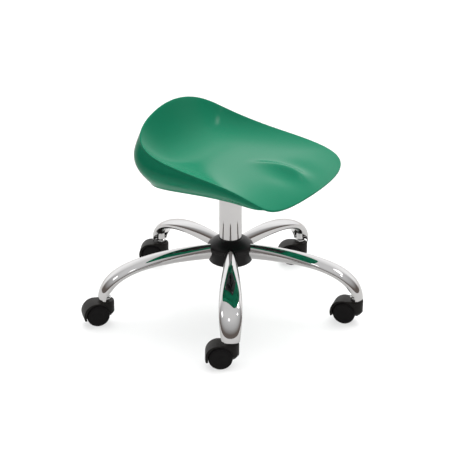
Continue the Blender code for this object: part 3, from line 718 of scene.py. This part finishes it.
hood = casterHood()
wheel = casterWheel()
offset = caster["web"] / 2 + caster["sideGap"] + caster["width"] / 2
for number in range(legCount):
    place = np.array(joints[f"caster_swivel_{number + 1}"]["pos_m"]) * [1, 1, 0]
    axle = np.array(joints[f"wheel_spin_{number + 1}a"]["pos_m"])
    heading = math.atan2(axle[1] - place[1], axle[0] - place[0])
    spot = turnAbout(heading, place)
    finishPiece(copyOf(hood, f"casterHood{number + 1}", spot), hoodBlack,
                f"caster_hood_{number + 1}", angle=35)
    for letter, side in (("a", 1), ("b", -1)):
        shift = Matrix.Translation((caster["trail"], side * offset, caster["wheel"]))
        flip = Matrix.Rotation(0 if side > 0 else math.pi, 4, "Z")
        finishPiece(copyOf(wheel, f"wheel{number + 1}{letter}", spot @ shift @ flip), wheelBlack,
                    f"wheel_{number + 1}{letter}", angle=35)
    stemLow, stemHigh = boxOf(f"caster_stem_{number + 1}")[0][2], boxOf(f"caster_stem_{number + 1}")[1][2]
    radius, collar = caster["stem"], caster["stem"] + caster["collar"]
    hoodTop = caster["top"] + fitGap
    collarTop = hoodTop + caster["collarHeight"]
    stem = turned(f"casterStem{number + 1}", [
        (tiny, stemLow, 0), (radius, stemLow, 0.0004), (radius, hoodTop, 0), (collar, hoodTop, 0.0004),
        (collar, collarTop, 0.0006), (radius, collarTop, 0.0002), (radius, stemHigh, 0.001),
        (tiny, stemHigh, 0)], 48, place, ring=False)
    finishPiece(stem, plainSteel, f"caster_stem_{number + 1}")
    low, high = boxOf(f"caster_socket_{number + 1}")
    bore, outer = caster["stem"] + fitGap, (high[0] - low[0]) / 2
    foot, sleeve = outer + caster["flare"], outer - 0.0005
    socket = turned(f"casterSocket{number + 1}", [
        (bore, low[2], 0.0003), (foot, low[2], 0.0009), (foot, low[2] + 0.0026, 0.0009),
        (sleeve, low[2] + 0.0046, 0.0016), (sleeve, high[2], 0.0006), (bore, high[2], 0.0003)], 64, place)
    finishPiece(socket, chrome, f"caster_socket_{number + 1}")
for piece in (hood, wheel):
    bpy.data.objects.remove(piece, do_unlink=True)
print("casters made")


# The lever: a bent round rod through a cross barrel on its pin, with a ribbed grip.
lever = {
    "radius": 0.0040, "start": -0.0300, "bend": 0.0460, "dip": 0.0225, "reach": 0.1240,
    "barrel": 0.0062, "barrelHalf": 0.0060, "pin": 0.0028, "endRound": 0.0009,
    "grip": 0.0070, "gripLength": 0.050, "ribs": 9, "ribDepth": 0.00035,
}


def leverRod():
    # A round rod carried along a smooth line through (out, up) points, its ends drawn in by quarter circles.
    bend, dip, reach = lever["bend"], lever["dip"], lever["reach"]
    knots = np.array([(lever["start"], 0), (0.006, 0), (bend - 0.008, 0), (bend, -0.004),
                      (bend + 0.012, -0.70 * dip), (bend + 0.022, -0.94 * dip),
                      (reach - lever["gripLength"], -dip), (reach - 0.004, -dip)])
    length = np.concatenate([[0], np.cumsum(np.linalg.norm(np.diff(knots, axis=0), axis=1))])
    place = np.linspace(0, length[-1], 120)
    line = openCurve(length, knots, place)
    heading = np.gradient(line, axis=0)
    heading /= np.linalg.norm(heading, axis=1)[:, None]
    near = np.minimum(place, length[-1] - place)
    endRound = lever["endRound"]
    radius = lever["radius"] - endRound * (1 - np.sqrt(1 - (1 - np.clip(near / endRound, 0, 1)) ** 2))
    turn = np.linspace(0, 2 * np.pi, 32, endpoint=False)
    across = radius[:, None] * np.cos(turn)
    rise = radius[:, None] * np.sin(turn)
    grid = np.stack([line[:, :1] - heading[:, 1:] * rise, across, line[:, 1:] + heading[:, :1] * rise], -1)
    bar = surface("leverRod", grid, capStart=True, capEnd=True)
    outer, half = lever["barrel"], lever["barrelHalf"]
    barrel = turned("barrel", [(tiny, -half, 0), (outer, -half, 0.0006), (outer, half, 0.0006),
                               (tiny, half, 0)], 64, ring=False, along="y")
    combine(bar, [barrel], "UNION")
    pin, past = lever["pin"], 0.02
    bore = turned("bore", [(tiny, -past, 0), (pin, -past, 0), (pin, past, 0), (tiny, past, 0)],
                  48, ring=False, along="y")
    return combine(bar, [bore])


def leverGrip():
    # A turned sleeve with a domed end; its ribs are a cosine on the radius.
    start, end = lever["reach"] - lever["gripLength"], lever["reach"]
    share = np.linspace(0, 1, 160)
    flat = smooth(0.06, 0.14, share) * (1 - smooth(0.72, 0.80, share))
    dome = np.sqrt(np.clip(1 - np.clip((share - 0.90) / 0.10, 0, 1) ** 2, 0.0004, 1))
    front = np.sqrt(np.clip(1 - np.clip((0.03 - share) / 0.03, 0, 1) ** 2 * 0.25, 0, 1))
    ribs = lever["ribDepth"] * flat * (1 - np.cos(share * 2 * np.pi * lever["ribs"] / 0.7))
    outside = np.stack([lever["grip"] * dome * front - ribs, start + share * (end - start)], 1)
    bore = lever["radius"] + fitGap
    inside = np.array([(tiny, end - 0.0035), (bore, end - 0.0035), (bore, start)])
    grid = turnedGrid(np.vstack([outside, inside]), 64, (0, 0, -lever["dip"]), "x")
    return surface("leverGrip", grid, wrapRows=True)


hinge = Matrix.Translation(Vector(joints["lever_lift"]["pos_m"]))
for piece, finish, node in ((leverRod(), plainSteel, "lever_rod"), (leverGrip(), hubBlack, "lever_grip")):
    piece.data.transform(hinge)
    finishPiece(piece, finish, node, angle=35)
print("lever made")


# Everything that stays as it came from the frame gets its own finish; screws, pins and axles are steel.
kept = {
    "hub_ring": plainSteel, "guide_bush": hubBlack, "gas_cylinder": paintBlack, "cone_socket": paintBlack,
    "seat_plate": paintBlack, "lever_tray": paintBlack, "piston_rod": plainSteel, "release_button": pinWhite,
}
for node, thing in frame["nodes"].items():
    if not thing.data.materials:
        thing.data.materials.append(plainSteel)
    for slot in thing.material_slots:
        slot.material = kept.get(node, plainSteel)
print("kept pieces finished")


camera = {"azimuth": -60, "elevation": 22.78, "distance": 2.703, "height": 0.1787, "lens": 96.13}
studio = {
    "key": (1.35, 120, 62), "fill": (3.7, 80, 60),    # strength, azimuth, elevation
    "angle": 60, "sky": 0.26, "farSide": 120, "farShare": (0.34, 0.62), "mirroredGain": 0.3,
    "floorRadius": 12, "floor": screen(226, 226, 226), "mirroredFloor": screen(190, 189, 188),
    "horizon": (0.13, 0.11, 0.10, 1), "farEdge": (0.62, 0.58, 0.55, 1),
    "panelMiddle": 0.25, "panelDistance": 2.5,
    # each panel's name, azimuth, elevation, width, height and glow
    "panels": (("sidePanel", 52, 50, 0.55, 0.40, 6.0), ("leftPanel", -144, 42, 0.60, 0.45, 2.2),
               ("cameraPanel", -73, 55, 0.30, 0.30, 3.0), ("seatPanel", 15, 51.5, 0.20, 0.16, 9.0)),
}


def direction(azimuth, elevation):
    # Unit vector towards an azimuth, measured from -Y towards +X, and an elevation, both in degrees.
    turn, tilt = math.radians(azimuth), math.radians(elevation)
    return Vector((math.sin(turn) * math.cos(tilt), -math.cos(turn) * math.cos(tilt), math.sin(tilt)))


def addCamera():
    back = direction(camera["azimuth"], camera["elevation"])
    eye = bpy.data.objects.new("camera", bpy.data.cameras.new("camera"))
    bpy.context.scene.collection.objects.link(eye)
    eye.data.lens = camera["lens"]
    eye.data.sensor_width = 36
    eye.location = Vector((axis[0], axis[1], camera["height"])) + back * camera["distance"]
    eye.rotation_euler = back.to_track_quat("Z", "Y").to_euler()
    bpy.context.scene.camera = eye


def addLight(name, kind, towards, place=(0, 0, 0)):
    light = bpy.data.objects.new(name, bpy.data.lights.new(name, kind))
    bpy.context.scene.collection.objects.link(light)
    light.location = place
    light.rotation_euler = towards.to_track_quat("Z", "Y").to_euler()
    return light


def addRoom():
    # What polished pieces reflect, by height and side: pale on the far side, dim low down on the near side.
    # Everything else gets an even, dim sky.
    room = Shader(bpy.data.worlds.new("studio"), "Background")
    place = room.node("ShaderNodeTexCoord", {}, {}, "Generated")
    far = direction(studio["farSide"], 0)
    beyond = room.node("ShaderNodeVectorMath", {"operation": "DOT_PRODUCT"}, {0: place, 1: far}, "Value")
    height = room.node("ShaderNodeSeparateXYZ", {}, {0: place}, "Z")

    def byHeight(stops):
        return room.node("ShaderNodeValToRGB", {"stops": stops}, {0: height})

    near = byHeight([(0.0, studio["horizon"]), (0.22, studio["horizon"]),
                     (0.55, grey(0.42)), (0.9, grey(0.62))])
    away = byHeight([(0.0, studio["farEdge"]), (0.12, grey(0.85)), (0.4, grey(1)), (0.95, grey(0.62))])
    start, end = studio["farShare"]
    side = room.node("ShaderNodeMapRange", {"interpolation_type": "SMOOTHSTEP"},
                     {"Value": beyond, "From Min": start, "From Max": end})
    mirror = room.node("ShaderNodeLightPath", {}, {}, "Is Glossy Ray")
    seen = room.mix(mirror, grey(studio["sky"]), room.mix(side, near, away))
    room.set(Color=seen, Strength=mirror * studio["mirroredGain"] + 1.0)
    bpy.context.scene.world = room.owner


def addStudio():
    # A wide pale floor, a soft key and a shadowless fill from above, and panels that show as highlights.
    turn = np.linspace(0, 2 * np.pi, 64, endpoint=False)
    radius = studio["floorRadius"]
    ring = np.stack([radius * np.cos(turn), radius * np.sin(turn), 0 * turn - tiny], -1)
    floor = surface("floor", np.stack([ring, ring * [0.01, 0.01, 1]]), capEnd=True)
    pale = Shader(bpy.data.materials.new("paleFloor"))
    mirrored = pale.node("ShaderNodeLightPath", {}, {}, "Is Glossy Ray")
    pale.set(Base_Color=pale.mix(mirrored, studio["floor"], studio["mirroredFloor"]), Roughness=0.9)
    floor.data.materials.append(pale.owner)
    for name, shadows in (("key", True), ("fill", False)):
        energy, azimuth, elevation = studio[name]
        light = addLight(name, "SUN", direction(azimuth, elevation))
        light.data.energy = energy
        light.data.angle = math.radians(studio["angle"])
        light.data.use_shadow = shadows
        light.visible_glossy = False
    middle = Vector((axis[0], axis[1], studio["panelMiddle"]))
    for name, azimuth, elevation, width, height, glow in studio["panels"]:
        towards = direction(azimuth, elevation)
        light = addLight(name, "AREA", towards, middle + towards * studio["panelDistance"])
        light.data.shape = "RECTANGLE"
        light.data.size, light.data.size_y = width, height
        light.data.energy = glow * math.pi * width * height
    addRoom()
    bpy.context.scene.view_settings.view_transform = "Standard"


addCamera()
addStudio()
print("camera and lights made")
print("scene ready")
